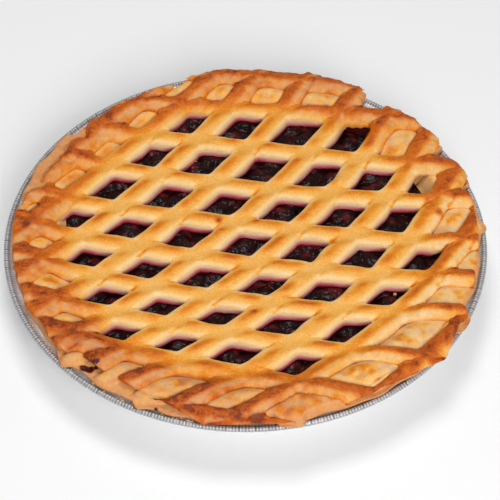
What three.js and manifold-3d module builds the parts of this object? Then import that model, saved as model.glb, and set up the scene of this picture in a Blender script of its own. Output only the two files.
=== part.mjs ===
// Apple blueberry pie in its own foil tin.
//
// A pastry case lies in a pressed foil tin and spreads over its flat rim. A dark
// filling of berries and apple fills the case. On top lies one sheet of pastry that a
// lattice roller has cut and that was pulled open: two families of strips that cross
// at about 59 degrees, run on over the case's rim and hang a little over its edge.
//
// Millimetres, +Z up. The origin is the middle of the tin's flat base, on the surface
// that the pie stands on.

import * as THREE from 'three';
import { mergeVertices } from 'three/addons/utils/BufferGeometryUtils.js';
import Module from 'manifold-3d';

const wasm = await Module();
wasm.setup();

// ---------------------------------------------------------------- driving dimensions

// Foil tin
const TIN_RADIUS = 140;          // outside of the rolled bead
const BASE_RADIUS = 115;         // flat base
const BASE_CORNER = 2;           // the base turns into the wall over this much
const RIM_HEIGHT = 30;           // top of the flat rim
const RIM_INNER_RADIUS = 130;    // where the wall meets the flat rim
const FOIL = 0.8;                // wall, with its fine wrinkles
const BEAD_RADIUS = 1.7;         // rolled edge
const BEAD_DROP = 0.4;           // the bead's middle below the flat rim's top
const BEAD_SIDES = 8;
const BEAD_FROM = 185;           // degrees, where the bead leaves the rim's underside
const BEAD_TO = 525;             // degrees, where it comes back to the rim's top
const TIN_SEGMENTS = 48;

// Pastry case
const CASE_GAP = 0.5;            // the case shrinks this far off the foil
const CASE_FLOOR = 4.2;          // pastry under the filling
const CASE_WALL = 7;             // pastry between the filling and the foil
const CASE_SEGMENTS = 60;
const INNER_CORNER_WIDTH = 3;    // the case's floor turns up into its wall
const INNER_CORNER_RISE = 1.5;
const BRIM_RADIUS = 127;         // outside this the crust follows its uneven edge
const BEAD_RAMP_START = 3.6;     // the crust climbs over the bead between these
const BEAD_RAMP_END = 1.6;       // distances from it
const PATCH_RISE = 3.5;          // pastry puffed up in the openings over the rim
const PATCH_INNER_RADIUS = 115;  // the puffed ring starts here
const CASE_SETBACK = 1.2;        // the case's edge behind the lattice's edge
const EDGE_ROUNDING = 6;         // the case's top rounds off within this of its edge

// Filling
const FILLING_RADIUS = 111;
const FILLING_HEIGHT = 26.8;     // in the middle of the pie
const FILLING_DISH = 1.5;        // its edge is this much higher
const BERRY_SPACING = 13.6;
const BERRY_RISE = 1.6;          // berries above the juice between them
const BERRY_UNEVEN = 0.8;        // differences of height from berry to berry
const BERRY_STRAY = 1;           // and of place
const FIT_GAP = 0.3;             // between pieces that touch

// Lattice
const STRIP_HEIGHT = 6.5;
const STRIP_FLARE = 0.7;         // a strip's foot is wider on each side by this
const STRIP_TAPER = 1.4;         // its flat crown is narrower on each side by this
const UNDER_STRIP_LIFT = 0.4;    // the lower family is thinner by this, above and below
const STRIP_STEP = 23;           // length of one facet along a strip
const END_CROWDING = 1.6;        // facets grow shorter towards its bent ends
const STRIP_REACH = 150;         // strips are cut from a sheet larger than the pie
const RIM_CRUST_TOP = 34.8;      // what the strips lie on over the rim
const CLIMB_START = 105;         // radius where strips leave the filling
const CLIMB_END = 121;           // radius where they lie on the rim
const RIM_SQUEEZE = 0.78;        // strips are pressed flatter on the rim
const DROOP_START = 131;         // outside this radius the crust bends down
const DROOP = 0.018;             // mm of drop for each square mm beyond it
const TRIM_SEGMENTS = 120;
const TRIM_MARGIN = 4;           // the trimming block reaches this far past the sheet

// Strips of each family, from one side of the pie to the other. offset is where a
// strip passes the family's middle line, lean and bow are how far its course strays
// from that line, 100 mm along it, and half is half its width.
const FAMILIES = [
  {
    turn: -9,
    lift: UNDER_STRIP_LIFT,
    strips: [
      { offset: 129.5, lean: 2, bow: 0, half: 7 },
      { offset: 101, lean: 9, bow: -6, half: 6 },
      { offset: 72, lean: 0, bow: -2, half: 5.2 },
      { offset: 38.7, lean: 0, bow: 4.5, half: 5.2 },
      { offset: 8.7, lean: 0, bow: 1.7, half: 5.2 },
      { offset: -21.2, lean: -1, bow: 3.5, half: 5.7 },
      { offset: -49.6, lean: -1.6, bow: 5.8, half: 5.4 },
      { offset: -75, lean: -5, bow: 1, half: 5.4 },
      { offset: -102, lean: -10, bow: 0, half: 6.5 },
      { offset: -133, lean: -5, bow: 0, half: 6 },
    ],
  },
  {
    turn: 50,
    lift: 0,
    strips: [
      { offset: 121.5, lean: 0, bow: -6, half: 6.5 },
      { offset: 98.5, lean: 0.5, bow: 0, half: 6 },
      { offset: 70.9, lean: 1.9, bow: 5.5, half: 6 },
      { offset: 40.9, lean: 1.8, bow: 7, half: 6 },
      { offset: 10.7, lean: -1, bow: 7, half: 5.8 },
      { offset: -19.1, lean: -2.4, bow: 9.5, half: 5.8 },
      { offset: -47.5, lean: -4.8, bow: 10.7, half: 5.8 },
      { offset: -77.3, lean: -4.4, bow: 12, half: 6.4 },
      { offset: -103.6, lean: -6, bow: 12, half: 6 },
      { offset: -137, lean: -6, bow: 3, half: 6 },
    ],
  },
];

// The crust's uneven edge: up to each angle (degrees, anticlockwise from +X) it has
// the radius given. Long ends hang over the bead, and short ones leave the rim bare.
const EDGE_STRETCHES = [
  { upTo: 3, radius: 140.5 },
  { upTo: 12, radius: 138.5 },
  { upTo: 15, radius: 132 },
  { upTo: 26, radius: 140 },
  { upTo: 29, radius: 132 },
  { upTo: 49, radius: 140 },
  { upTo: 56, radius: 131 },
  { upTo: 73, radius: 143.5 },
  { upTo: 106, radius: 139.5 },
  { upTo: 142, radius: 132.5 },
  { upTo: 224, radius: 136.5 },
  { upTo: 243, radius: 132 },
  { upTo: 276, radius: 137.5 },
  { upTo: 282, radius: 143 },
  { upTo: 327, radius: 139 },
  { upTo: 333, radius: 141.5 },
  { upTo: 360, radius: 137 },
];
const EDGE_BLEND = 2;            // degrees over which one stretch passes into the next
const EDGE_RAGGED = 0.5;         // height of the small waves along the edge
const RAGGED_WAVES = [23, 37];   // how many of them go round the pie

// ---------------------------------------------------------------- helpers

const toRadians = THREE.MathUtils.degToRad;
const smoothstep = THREE.MathUtils.smoothstep;
const lerp = THREE.MathUtils.lerp;

/** A three.js geometry as a solid that can be joined and cut. */
function solidOf(geometry) {
  const bare = geometry.clone();
  bare.deleteAttribute('normal');
  bare.deleteAttribute('uv');
  const merged = mergeVertices(bare, 1e-4);
  return new wasm.Manifold(new wasm.Mesh({
    numProp: 3,
    vertProperties: new Float32Array(merged.attributes.position.array),
    triVerts: new Uint32Array(merged.index.array),
  }));
}

/** A joined or cut solid as a three.js geometry. */
function geometryOf(solid) {
  const mesh = solid.getMesh();
  const geometry = new THREE.BufferGeometry();
  geometry.setAttribute('position', new THREE.BufferAttribute(mesh.vertProperties, 3));
  geometry.setIndex(new THREE.BufferAttribute(mesh.triVerts, 1));
  geometry.computeVertexNormals();
  return geometry;
}

/** The largest of a solid's separate bodies, without the loose scraps of a cut. */
function largestOf(solid) {
  const bodies = solid.decompose();
  return bodies.reduce((best, body) => (body.volume() > best.volume() ? body : best));
}

/** Moves every vertex of a geometry: place(vertex) changes the vector it is given. */
function reshape(geometry, place) {
  const points = geometry.attributes.position;
  const vertex = new THREE.Vector3();
  for (let i = 0; i < points.count; i += 1) {
    vertex.fromBufferAttribute(points, i);
    place(vertex);
    points.setXYZ(i, vertex.x, vertex.y, vertex.z);
  }
  return geometry;
}

/** A profile of [radius, height] pairs, from the axis and back to it, spun about Z. */
function spun(profile, segments) {
  const outline = profile.map(([radius, height]) => new THREE.Vector2(radius, height));
  return new THREE.LatheGeometry(outline, segments).rotateX(Math.PI / 2);
}

/** A spun solid that isn't round: profileAt gives the profile at each angle. */
function spunUneven(profileAt, segments) {
  const count = profileAt(0).length;
  let index = 0;
  return reshape(spun(profileAt(0), segments), (vertex) => {
    const column = Math.floor(index / count) % segments;
    const angle = toRadians((360 * column) / segments - 90);
    const [radius, height] = profileAt(angle)[index % count];
    vertex.set(radius * Math.cos(angle), radius * Math.sin(angle), height);
    index += 1;
  });
}

// ---------------------------------------------------------------- shared surfaces

/** Radius of the crust's uneven edge at an angle in radians. */
function edgeRadius(angle) {
  const degrees = THREE.MathUtils.euclideanModulo(THREE.MathUtils.radToDeg(angle), 360);
  const last = EDGE_STRETCHES.length - 1;
  let index = EDGE_STRETCHES.findIndex((stretch) => degrees < stretch.upTo);
  if (index < 0) index = last;
  const here = EDGE_STRETCHES[index];
  const before = EDGE_STRETCHES[index === 0 ? last : index - 1];
  const start = index === 0 ? 0 : before.upTo;
  const blend = smoothstep(degrees, start, start + EDGE_BLEND);
  const ragged = RAGGED_WAVES.reduce((sum, waves) => sum + Math.sin(waves * angle + 1), 0);
  return lerp(before.radius, here.radius, blend) + EDGE_RAGGED * ragged;
}

/** Height of the filling's surface without its berries. */
function fillingHeight(radius) {
  return FILLING_HEIGHT + FILLING_DISH * (radius / FILLING_RADIUS) ** 2;
}

/** Height of what a strip lies on: the filling, then the rim, then the bent edge. */
function restHeight(radius) {
  const onFilling = fillingHeight(Math.min(radius, FILLING_RADIUS)) + FIT_GAP;
  const climb = smoothstep(radius, CLIMB_START, CLIMB_END);
  const droop = DROOP * Math.max(0, radius - DROOP_START) ** 2;
  return lerp(onFilling, RIM_CRUST_TOP, climb) - droop;
}

/** How much of its height a strip keeps at a radius. */
function squeeze(radius) {
  return lerp(1, RIM_SQUEEZE, smoothstep(radius, CLIMB_START, CLIMB_END));
}

/** Where a strip's middle line lies, off its family's middle line. */
function courseOf(strip, along) {
  const part = along / 100;
  return strip.offset + strip.lean * part + strip.bow * part * part;
}

// ---------------------------------------------------------------- foil tin

/** Pressed foil: flat base, sloping wall, flat rim and a rolled bead at its edge. */
function foilTin() {
  const beadX = TIN_RADIUS - BEAD_RADIUS;
  const beadZ = RIM_HEIGHT - BEAD_DROP;
  const under = RIM_HEIGHT - FOIL;
  const outside = [
    [0, 0],
    [BASE_RADIUS - BASE_CORNER, 0],
    [BASE_RADIUS, BASE_CORNER],
    [RIM_INNER_RADIUS, under],
  ];
  // The bead runs from under the rim, round the outside, to the rim's top.
  const bead = [];
  for (let i = 0; i <= BEAD_SIDES; i += 1) {
    const angle = toRadians(lerp(BEAD_FROM, BEAD_TO, i / BEAD_SIDES));
    bead.push([beadX + BEAD_RADIUS * Math.cos(angle), beadZ + BEAD_RADIUS * Math.sin(angle)]);
  }
  const inside = [
    [RIM_INNER_RADIUS - FOIL / 2, RIM_HEIGHT],
    [BASE_RADIUS - FOIL, BASE_CORNER],
    [BASE_RADIUS - FOIL - BASE_CORNER / 2, FOIL],
    [0, FOIL],
  ];
  return spun([...outside, ...bead, ...inside], TIN_SEGMENTS);
}

// ---------------------------------------------------------------- pastry case

/** Height of the case's underside: clear of the flat rim, then over the bead. */
function undersideHeight(radius) {
  const beadTop = RIM_HEIGHT - BEAD_DROP + BEAD_RADIUS;
  const beadStart = TIN_RADIUS - 2 * BEAD_RADIUS;
  const ramp = smoothstep(radius, beadStart - BEAD_RAMP_START, beadStart - BEAD_RAMP_END);
  return lerp(RIM_HEIGHT, beadTop, ramp) + CASE_GAP;
}

/** Height of the case's top: its inner slope, then pastry puffed up on the rim. */
function caseTopHeight(radius, edge) {
  const slope = smoothstep(radius, FILLING_RADIUS, PATCH_INNER_RADIUS);
  const rounding = smoothstep(edge - radius, -EDGE_ROUNDING, EDGE_ROUNDING);
  const puffed = restHeight(radius) + PATCH_RISE * rounding;
  return lerp(fillingHeight(FILLING_RADIUS), puffed, slope);
}

/** The case's profile where its edge has the given radius, before strips press it. */
function caseProfile(edge) {
  const floor = FOIL + CASE_GAP;
  const innerFloor = floor + CASE_FLOOR;
  const foot = BASE_RADIUS - FOIL - CASE_GAP;
  const innerFoot = foot - CASE_WALL;
  const wallTop = RIM_INNER_RADIUS - FOIL / 2 - CASE_GAP;
  const rim = (part) => lerp(BRIM_RADIUS, edge, part);
  const under = (radius) => [radius, undersideHeight(radius)];
  const over = (radius) => [radius, caseTopHeight(radius, edge)];
  return [
    [0, floor],
    [foot - BASE_CORNER / 2, floor],
    [foot, BASE_CORNER + CASE_GAP],
    [wallTop, RIM_HEIGHT],
    ...[0.4, 0.7, 1].map((part) => under(rim(part))),
    ...[1, 0.6, 0].map((part) => over(rim(part))),
    over(PATCH_INNER_RADIUS),
    over(FILLING_RADIUS + FIT_GAP),
    [innerFoot, innerFloor + INNER_CORNER_RISE],
    [innerFoot - INNER_CORNER_WIDTH, innerFloor],
    [0, innerFloor],
  ];
}

/** The pastry case, with a bed under every strip that crosses its rim. */
function pastryCase() {
  const profileAt = (angle) => caseProfile(edgeRadius(angle) - CASE_SETBACK);
  const plain = solidOf(spunUneven(profileAt, CASE_SEGMENTS));
  return geometryOf(largestOf(plain.subtract(latticeSolid(FIT_GAP))));
}

// ---------------------------------------------------------------- filling

/** Berries in a packed layer: every third corner of a triangle grid is a berry. */
function berryLayer() {
  const step = BERRY_SPACING / Math.sqrt(3);
  const rowStep = BERRY_SPACING / 2;
  const rows = 2 * Math.ceil(FILLING_RADIUS / rowStep) + 2;
  const columns = 2 * Math.ceil(FILLING_RADIUS / step) + rows / 2 + 2;
  const slab = new THREE.BoxGeometry(columns, rows, FILLING_HEIGHT, columns, rows, 1);
  return reshape(slab, (vertex) => {
    const column = Math.round(vertex.x + columns / 2);
    const row = Math.round(rows / 2 - vertex.y);
    const isBerry = (column - row + 3 * rows) % 3 === 0;
    const isTop = vertex.z > 0;
    const uneven = BERRY_UNEVEN * Math.sin(0.9 * column + 2.1 * row);
    const sunk = (isBerry ? BERRY_UNEVEN : BERRY_RISE) + uneven;
    const strayX = BERRY_STRAY * Math.sin(1.7 * column + 0.4 * row);
    const strayY = BERRY_STRAY * Math.sin(0.6 * column + 1.9 * row);
    vertex.x = (column + row / 2 - columns / 2 - rows / 4) * step + strayX;
    vertex.y = (rows / 2 - row) * rowStep + strayY;
    const top = fillingHeight(Math.hypot(vertex.x, vertex.y)) - sunk;
    vertex.z = isTop ? top : FOIL + CASE_GAP;
  });
}

/** The filling: the berry layer, cut to the hollow of the case. */
function filling() {
  const floor = FOIL + CASE_GAP + CASE_FLOOR + FIT_GAP;
  const foot = BASE_RADIUS - FOIL - CASE_GAP - CASE_WALL - FIT_GAP;
  const top = fillingHeight(FILLING_RADIUS) + BERRY_RISE;
  const hollow = spun([
    [0, floor],
    [foot - INNER_CORNER_WIDTH, floor],
    [foot, floor + INNER_CORNER_RISE],
    [FILLING_RADIUS - FIT_GAP, fillingHeight(FILLING_RADIUS)],
    [FILLING_RADIUS - FIT_GAP, top],
    [0, top],
  ], TIN_SEGMENTS);
  return geometryOf(solidOf(berryLayer()).intersect(solidOf(hollow)));
}

// ---------------------------------------------------------------- lattice

/** One strip of the sheet, grown on all sides by the given amount. */
function stripGeometry(family, strip, grow) {
  const foot = strip.half + STRIP_FLARE + grow;
  const crown = strip.half - STRIP_TAPER + grow;
  const base = family.lift / 2 - grow;
  const top = STRIP_HEIGHT - family.lift + grow;
  const section = new THREE.Shape([
    new THREE.Vector2(-foot, base),
    new THREE.Vector2(foot, base),
    new THREE.Vector2(crown, top),
    new THREE.Vector2(-crown, top),
  ]);
  const reach = Math.sqrt(STRIP_REACH ** 2 - strip.offset ** 2);
  const steps = 2 * Math.round(reach / STRIP_STEP);
  const straight = new THREE.ExtrudeGeometry(section, {
    depth: 2 * reach,
    steps,
    bevelEnabled: false,
  });
  const cos = Math.cos(toRadians(family.turn));
  const sin = Math.sin(toRadians(family.turn));
  return reshape(straight, (vertex) => {
    const part = vertex.z / reach - 1;
    const rest = Math.max(0, 1 - Math.abs(part));
    const along = reach * Math.sign(part) * (1 - rest ** END_CROWDING);
    const across = courseOf(strip, along) + vertex.x;
    const height = vertex.y;
    vertex.x = cos * along - sin * across;
    vertex.y = sin * along + cos * across;
    const radius = Math.hypot(vertex.x, vertex.y);
    vertex.z = restHeight(radius) + squeeze(radius) * height;
  });
}

/** What the sheet is trimmed with: an upright block with the crust's uneven edge. */
function trimGeometry(grow) {
  const low = FILLING_HEIGHT - TRIM_MARGIN;
  const high = RIM_CRUST_TOP + STRIP_HEIGHT + TRIM_MARGIN;
  return spunUneven((angle) => {
    const edge = edgeRadius(angle) + grow;
    return [[0, low], [edge, low], [edge, high], [0, high]];
  }, TRIM_SEGMENTS);
}

/** All strips joined into one sheet and trimmed, grown by the given amount. */
function latticeSolid(grow) {
  let sheet = null;
  for (const family of FAMILIES) {
    for (const strip of family.strips) {
      const solid = solidOf(stripGeometry(family, strip, grow));
      sheet = sheet ? sheet.add(solid) : solid;
    }
  }
  return sheet.intersect(solidOf(trimGeometry(grow)));
}

// ---------------------------------------------------------------- the pie

/** A named piece with its own material. */
function piece(name, geometry, look) {
  const mesh = new THREE.Mesh(geometry, new THREE.MeshStandardMaterial(look));
  mesh.name = name;
  return mesh;
}

const pie = new THREE.Group();
pie.add(
  piece('foil_tin', foilTin(), { color: 0xc9cbcd, roughness: 0.28, metalness: 1 }),
  piece('pastry_case', pastryCase(), { color: 0xcf8a45, roughness: 0.7, metalness: 0 }),
  piece('filling', filling(), { color: 0x2a0b12, roughness: 0.25, metalness: 0 }),
  piece('lattice_top', geometryOf(latticeSolid(0)), {
    color: 0xe6a147,
    roughness: 0.6,
    metalness: 0,
  }),
);

export default pie;
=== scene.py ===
# %% [markdown]
# # Apple blueberry pie in its own foil tin
#
# The frame that this lesson starts from holds four plain solids: a foil tin, a pastry
# case, a berry filling and a lattice of pastry strips. Each of them gets a fine mesh of
# the same form and its own finish here. The meshes are worked in millimetres, in the
# frame's own place, and the last step of each piece turns it into metres.

# %% Load the frame
import math
import random

import bmesh
import bpy
from mathutils import Matrix, Vector, noise


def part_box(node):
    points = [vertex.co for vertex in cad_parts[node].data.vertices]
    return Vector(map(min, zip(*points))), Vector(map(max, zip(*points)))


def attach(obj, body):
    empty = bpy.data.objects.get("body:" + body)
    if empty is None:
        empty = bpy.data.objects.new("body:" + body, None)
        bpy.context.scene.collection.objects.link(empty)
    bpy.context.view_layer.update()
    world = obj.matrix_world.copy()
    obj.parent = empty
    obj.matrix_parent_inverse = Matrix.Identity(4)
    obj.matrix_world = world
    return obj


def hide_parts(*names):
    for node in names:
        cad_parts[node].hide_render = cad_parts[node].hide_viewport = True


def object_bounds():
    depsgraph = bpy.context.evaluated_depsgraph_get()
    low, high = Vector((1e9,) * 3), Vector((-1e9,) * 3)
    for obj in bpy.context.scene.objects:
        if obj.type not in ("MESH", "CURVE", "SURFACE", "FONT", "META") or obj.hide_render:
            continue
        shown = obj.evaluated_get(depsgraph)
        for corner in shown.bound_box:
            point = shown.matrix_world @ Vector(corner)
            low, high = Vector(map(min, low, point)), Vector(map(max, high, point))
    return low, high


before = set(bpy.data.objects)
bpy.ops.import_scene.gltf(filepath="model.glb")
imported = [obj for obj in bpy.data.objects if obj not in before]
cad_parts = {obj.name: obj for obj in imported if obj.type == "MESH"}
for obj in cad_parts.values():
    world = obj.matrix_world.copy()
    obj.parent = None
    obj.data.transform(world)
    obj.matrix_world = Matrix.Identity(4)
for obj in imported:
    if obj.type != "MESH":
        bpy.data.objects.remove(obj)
cad_low, cad_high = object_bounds()
MM = 0.001
# the lattice stays this far inside the frame's box
BOX_MARGIN = 0.05
TOP_LIMIT = cad_high.z / MM - BOX_MARGIN
SIDE_LIMITS = [(cad_low[i] / MM + BOX_MARGIN, cad_high[i] / MM - BOX_MARGIN) for i in (0, 1)]
print("frame nodes:", sorted(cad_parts))
print("frame box in mm:", [round(value / MM, 1) for value in (*cad_low, *cad_high)])

# %% [markdown]
# ## Sizes of the real pie
#
# The tin is 280 mm across and 30 mm deep. Its flat rim carries the edge of the crust.
# The filling lies just under the rim, and the strips of the lattice lie on the filling
# and then climb over the rim. All sizes are in millimetres.

# %% Driving sizes
_, tin_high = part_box("foil_tin")
TIN_INSET = 0.1
TIN_RADIUS = tin_high.x / MM - TIN_INSET
BASE_RADIUS = 115
BASE_CORNER = 2
RIM_HEIGHT = 30
RIM_INNER_RADIUS = 130
FOIL = 0.8
BEAD_RADIUS = 1.7
BEAD_DROP = 0.4
BEAD_MIDDLE = TIN_RADIUS - BEAD_RADIUS
BEAD_HEIGHT = RIM_HEIGHT - BEAD_DROP

CASE_GAP = 0.5
CASE_FLOOR = 4.2
CASE_WALL = 7
BRIM_RADIUS = 129.6

FILLING_RADIUS = 113.5
FILLING_HEIGHT = 26.8
FILLING_DISH = 1.5
CASE_INNER_RAMP = 6
CASE_SHELF = 96
FIT_GAP = 0.3

STRIP_HEIGHT = 6.5
FOOT_FLARE = 0.7
CROWN_FLARE = 0.6
SINK_IN_JUICE = 1.8
SINK_IN_CRUST = 0.8
SINK_RAMP = 6
RIM_CRUST_TOP = 34.8
CLIMB_START = 105
CLIMB_END = 121
RIM_SQUEEZE = 0.68
DROOP_START = 131
DROOP = 0.018
print("tin radius:", round(TIN_RADIUS, 1), "mm")

# %% Courses of the strips
# Two families of strips. Each strip has an offset from the family's middle line, a lean
# and a bow off that line 100 mm along it, and half its width.
FAMILIES = [
    {
        "turn": -9,
        "strips": [
            (129.5, 2, 0, 7), (104.7, 6, -6, 5), (72, 0, -2, 5.2), (38.7, 0, 4.5, 5.2),
            (8.7, 0, 1.7, 5.2), (-21.2, -1, 3.5, 5.7), (-49.6, -1.6, 5.8, 5.4),
            (-75, -5, 1, 5.4), (-102, -10, 0, 6.5), (-135, -4, 0, 4.8),
        ],
    },
    {
        "turn": 50,
        "strips": [
            (121.5, 0, -6, 6.5), (98.5, 0.5, 0, 6), (70.9, 1.9, 5.5, 6), (40.9, 1.8, 7, 6),
            (10.7, -1, 7, 5.8), (-19.1, -2.4, 9.5, 5.8), (-47.5, -4.8, 10.7, 5.8),
            (-77.3, -4.4, 12, 6.4), (-103.6, -6, 12, 6), (-137, -6, 3, 6),
        ],
    },
]
print("strips in each family:", [len(family["strips"]) for family in FAMILIES])

# %% The crust's uneven edge
# Up to each angle in degrees it has the radius given.
EDGE_STRETCHES = [
    (3, 140.5), (12, 138.5), (15, 132), (26, 140), (29, 132), (49, 140), (56, 131), (73, 143.5),
    (106, 139.5), (142, 132.5), (224, 136.5), (243, 132), (276, 137.5), (282, 143), (327, 139),
    (333, 141.5), (360, 137),
]
EDGE_BLEND = 2
EDGE_RAGGED = 0.5
RAGGED_WAVES = (23, 37)
RAGGED_PHASE = 1

# %% [markdown]
# ## Shared fields
#
# Strips, case and filling have to fit each other everywhere, so all three read the same
# few functions: where the crust ends, how high things lie at a radius, and how far a
# point is from the nearest strip. This is how one mould shapes several pieces.


# %% Small helpers
def clamp(value, low=0.0, high=1.0):
    return max(low, min(high, value))


def lerp(start, end, part):
    return start + (end - start) * part


def ease(value, start, end):
    """0 up to the start, 1 from the end on, and a smooth climb between."""
    part = clamp((value - start) / (end - start))
    return part * part * (3 - 2 * part)


def hump(value, middle, width):
    """1 at the middle, falling off on both sides over the width."""
    return math.exp(-(((value - middle) / width) ** 2))


def quarter_round(part):
    """Height of a round shoulder, from 0 at its foot to 1 where it is level."""
    return math.sqrt(1 - (1 - part) ** 2)


def rough(x, y, size, seed=0.0):
    """Smooth noise from about -1 to 1, with lumps of the given size."""
    return noise.noise(Vector((x / size, y / size, seed)))


def within(angle, start, end, blend=4):
    """1 between two angles in degrees, with soft ends."""
    middle = (start + end) / 2
    off = abs((angle - middle + 180) % 360 - 180)
    return 1 - ease(off, (end - start) / 2 - blend, (end - start) / 2 + blend)


def polar(x, y):
    """Radius, and angle in degrees from 0 to 360."""
    return math.hypot(x, y), math.degrees(math.atan2(y, x)) % 360


def around(radius, degrees):
    """(x, y) of the point at a radius and an angle."""
    turn = math.radians(degrees)
    return radius * math.cos(turn), radius * math.sin(turn)


# %% Edge and heights
# On these stretches, from one angle to another, the strips stop short of the edge by so
# many mm, and leave a plain band of the case bare.
BARE_BANDS = [(139, 166, 10.5), (246, 275, 2.5)]
BARE_BLEND = 3
BARE_WAVE = 0.5
# a band of this width counts as wholly bare, and its inner edge fades in
WHOLLY_BARE = 3
BARE_FADE = (0.5, 2.5)


def edge_radius(degrees):
    """Radius of the crust's uneven edge at an angle."""
    degrees = degrees % 360
    index = next(i for i, (up_to, _) in enumerate(EDGE_STRETCHES) if degrees < up_to)
    before = EDGE_STRETCHES[index - 1]
    start = 0 if index == 0 else before[0]
    blend = ease(degrees, start, start + EDGE_BLEND)
    turn = math.radians(degrees)
    ragged = sum(math.sin(waves * turn + RAGGED_PHASE) for waves in RAGGED_WAVES)
    return lerp(before[1], EDGE_STRETCHES[index][1], blend) + EDGE_RAGGED * ragged


def bare_width(degrees):
    """Width of the bare band at an angle, uneven as the strips' ends are."""
    bands = [wide * within(degrees, *arc, BARE_BLEND) for *arc, wide in BARE_BANDS]
    return max(bands) * (1 + BARE_WAVE * rough(degrees, 0, 4.5, seed=81))


def tip_radius(degrees):
    """Radius at which the strips end."""
    return edge_radius(degrees) - bare_width(degrees % 360)


def on_bare_band(radius, degrees):
    """1 on a bare band, 0 further in."""
    width = bare_width(degrees)
    inside = radius - edge_radius(degrees) + width
    return clamp(width / WHOLLY_BARE) * ease(inside, *BARE_FADE)


def filling_height(radius):
    return FILLING_HEIGHT + FILLING_DISH * (radius / FILLING_RADIUS) ** 2


def rest_height(radius):
    """Height of what a strip lies on: the filling, then the rim, then the bent edge."""
    on_filling = filling_height(min(radius, FILLING_RADIUS)) + FIT_GAP
    droop = DROOP * max(0, radius - DROOP_START) ** 2
    return lerp(on_filling, RIM_CRUST_TOP, ease(radius, CLIMB_START, CLIMB_END)) - droop


def foot_sink(radius):
    """How deep a strip's foot has sunk into the juice, or into the crust under it."""
    on_crust = ease(radius, CLIMB_START, CLIMB_START + SINK_RAMP)
    return lerp(SINK_IN_JUICE, SINK_IN_CRUST, on_crust)


def squeeze(radius):
    """How much of its height a strip keeps at a radius."""
    return lerp(1, RIM_SQUEEZE, ease(radius, CLIMB_START, CLIMB_END))


print("edge radius at the front:", round(edge_radius(270), 1), "mm")

# %% Distance to the strips
CORNER_FILL = 5
SPREAD_START = 112
SPREAD_FULL = 124
SPREAD_BLEND = 8
# stretches of the rim where the strips' dough spread: from, to, and by how many mm
SPREAD_ARCS = [(128, 240, 2), (5, 62, 1.6)]

for family in FAMILIES:
    family["cos"] = math.cos(math.radians(family["turn"]))
    family["sin"] = math.sin(math.radians(family["turn"]))


def to_family(family, x, y):
    """(along, across) of a point, seen along a family's direction."""
    return family["cos"] * x + family["sin"] * y, family["cos"] * y - family["sin"] * x


def from_family(family, along, across):
    """(x, y) of a point that is given along and across a family's direction."""
    x = family["cos"] * along - family["sin"] * across
    return x, family["sin"] * along + family["cos"] * across


def course(strip, along):
    """How far a strip's middle line lies off its family's middle line."""
    offset, lean, bow, _ = strip
    part = along / 100
    return offset + lean * part + bow * part * part


def spread(x, y):
    """How much wider a strip is on parts of the rim, where its dough spread."""
    radius, degrees = polar(x, y)
    if radius < SPREAD_START:
        return 0
    wider = max(more * within(degrees, *arc, SPREAD_BLEND) for *arc, more in SPREAD_ARCS)
    return wider * ease(radius, SPREAD_START, SPREAD_FULL)


def nearest_strip(family, x, y):
    """(index, distance to the middle line, half width) of a family's nearest strip."""
    wider = spread(x, y)
    along, across = to_family(family, x, y)
    best = None
    best_room = math.inf
    for index, strip in enumerate(family["strips"]):
        off = across - course(strip, along)
        room = abs(off) - strip[3]
        if room < best_room:
            best_room = room
            best = (index, off, strip[3] + wider)
    return best


def gap_to_strips(x, y):
    """How far a point is from the nearest strip's side, negative under a strip.

    Where two strips cross, their corner is filled in, so the gap there is smaller.
    """
    rooms = []
    for family in FAMILIES:
        _, off, half = nearest_strip(family, x, y)
        rooms.append(abs(off) - half)
    corner = clamp(1 - abs(rooms[0] - rooms[1]) / CORNER_FILL)
    return min(rooms) - corner * corner * CORNER_FILL / 4


# %% Openings
# Openings whose middle lies this far out have crust in them instead of filling. One of
# those is open all the same, and in another the crust merged with the strips round it.
PATCHES_FROM = 108
OPEN_CELL = (2, 6)
MERGED_CELL = (8, 8)
COURSE_ROUNDS = 8


def cell_middle(cell):
    """Where the middle of the opening between two strips of each family lies."""
    x = y = 0
    first, second = FAMILIES
    turn = first["cos"] * second["sin"] - first["sin"] * second["cos"]
    # strips bend, so each round starts from the place that the last one found
    for _ in range(COURSE_ROUNDS):
        across = []
        for family, index in zip(FAMILIES, cell):
            along = to_family(family, x, y)[0]
            sides = [course(strip, along) for strip in family["strips"][index : index + 2]]
            across.append(sum(sides) / 2)
        x = (second["cos"] * across[0] - first["cos"] * across[1]) / turn
        y = (second["sin"] * across[0] - first["sin"] * across[1]) / turn
    return x, y


def cell_at(x, y):
    """Indices of the opening at a point, from the far and from the left side."""
    cell = []
    for family in FAMILIES:
        index, off, _ = nearest_strip(family, x, y)
        cell.append(index - 1 if off > 0 else index)
    return tuple(cell)


rows, columns = (range(len(family["strips"]) - 1) for family in FAMILIES)
cells = [(row, column) for row in rows for column in columns]
PATCHES = {cell for cell in cells if math.hypot(*cell_middle(cell)) > PATCHES_FROM}
PATCHES.discard(OPEN_CELL)


def in_patch(x, y):
    """True where a point lies in an opening that has crust in it."""
    return cell_at(x, y) in PATCHES


print("openings with crust in them:", len(PATCHES), "of", len(cells))
print("gap in a middle opening:", round(gap_to_strips(*cell_middle((4, 4))), 1), "mm")

# %% [markdown]
# The oven browned the rim all round but for its right side, and most at the near left.
# Here and there the crust has a burnt blister, and on the near left side juice boiled
# over and dried as dark glossy spots. Their places are read off the photograph.

# %% Heat and spots
# the middle of the pale right side, in degrees, and how far from it the rim browns
RIGHT_SIDE = -15
HEAT_FADE = (25, 75)
NEAR_LEFT_ARC = (215, 275, 12)
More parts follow.
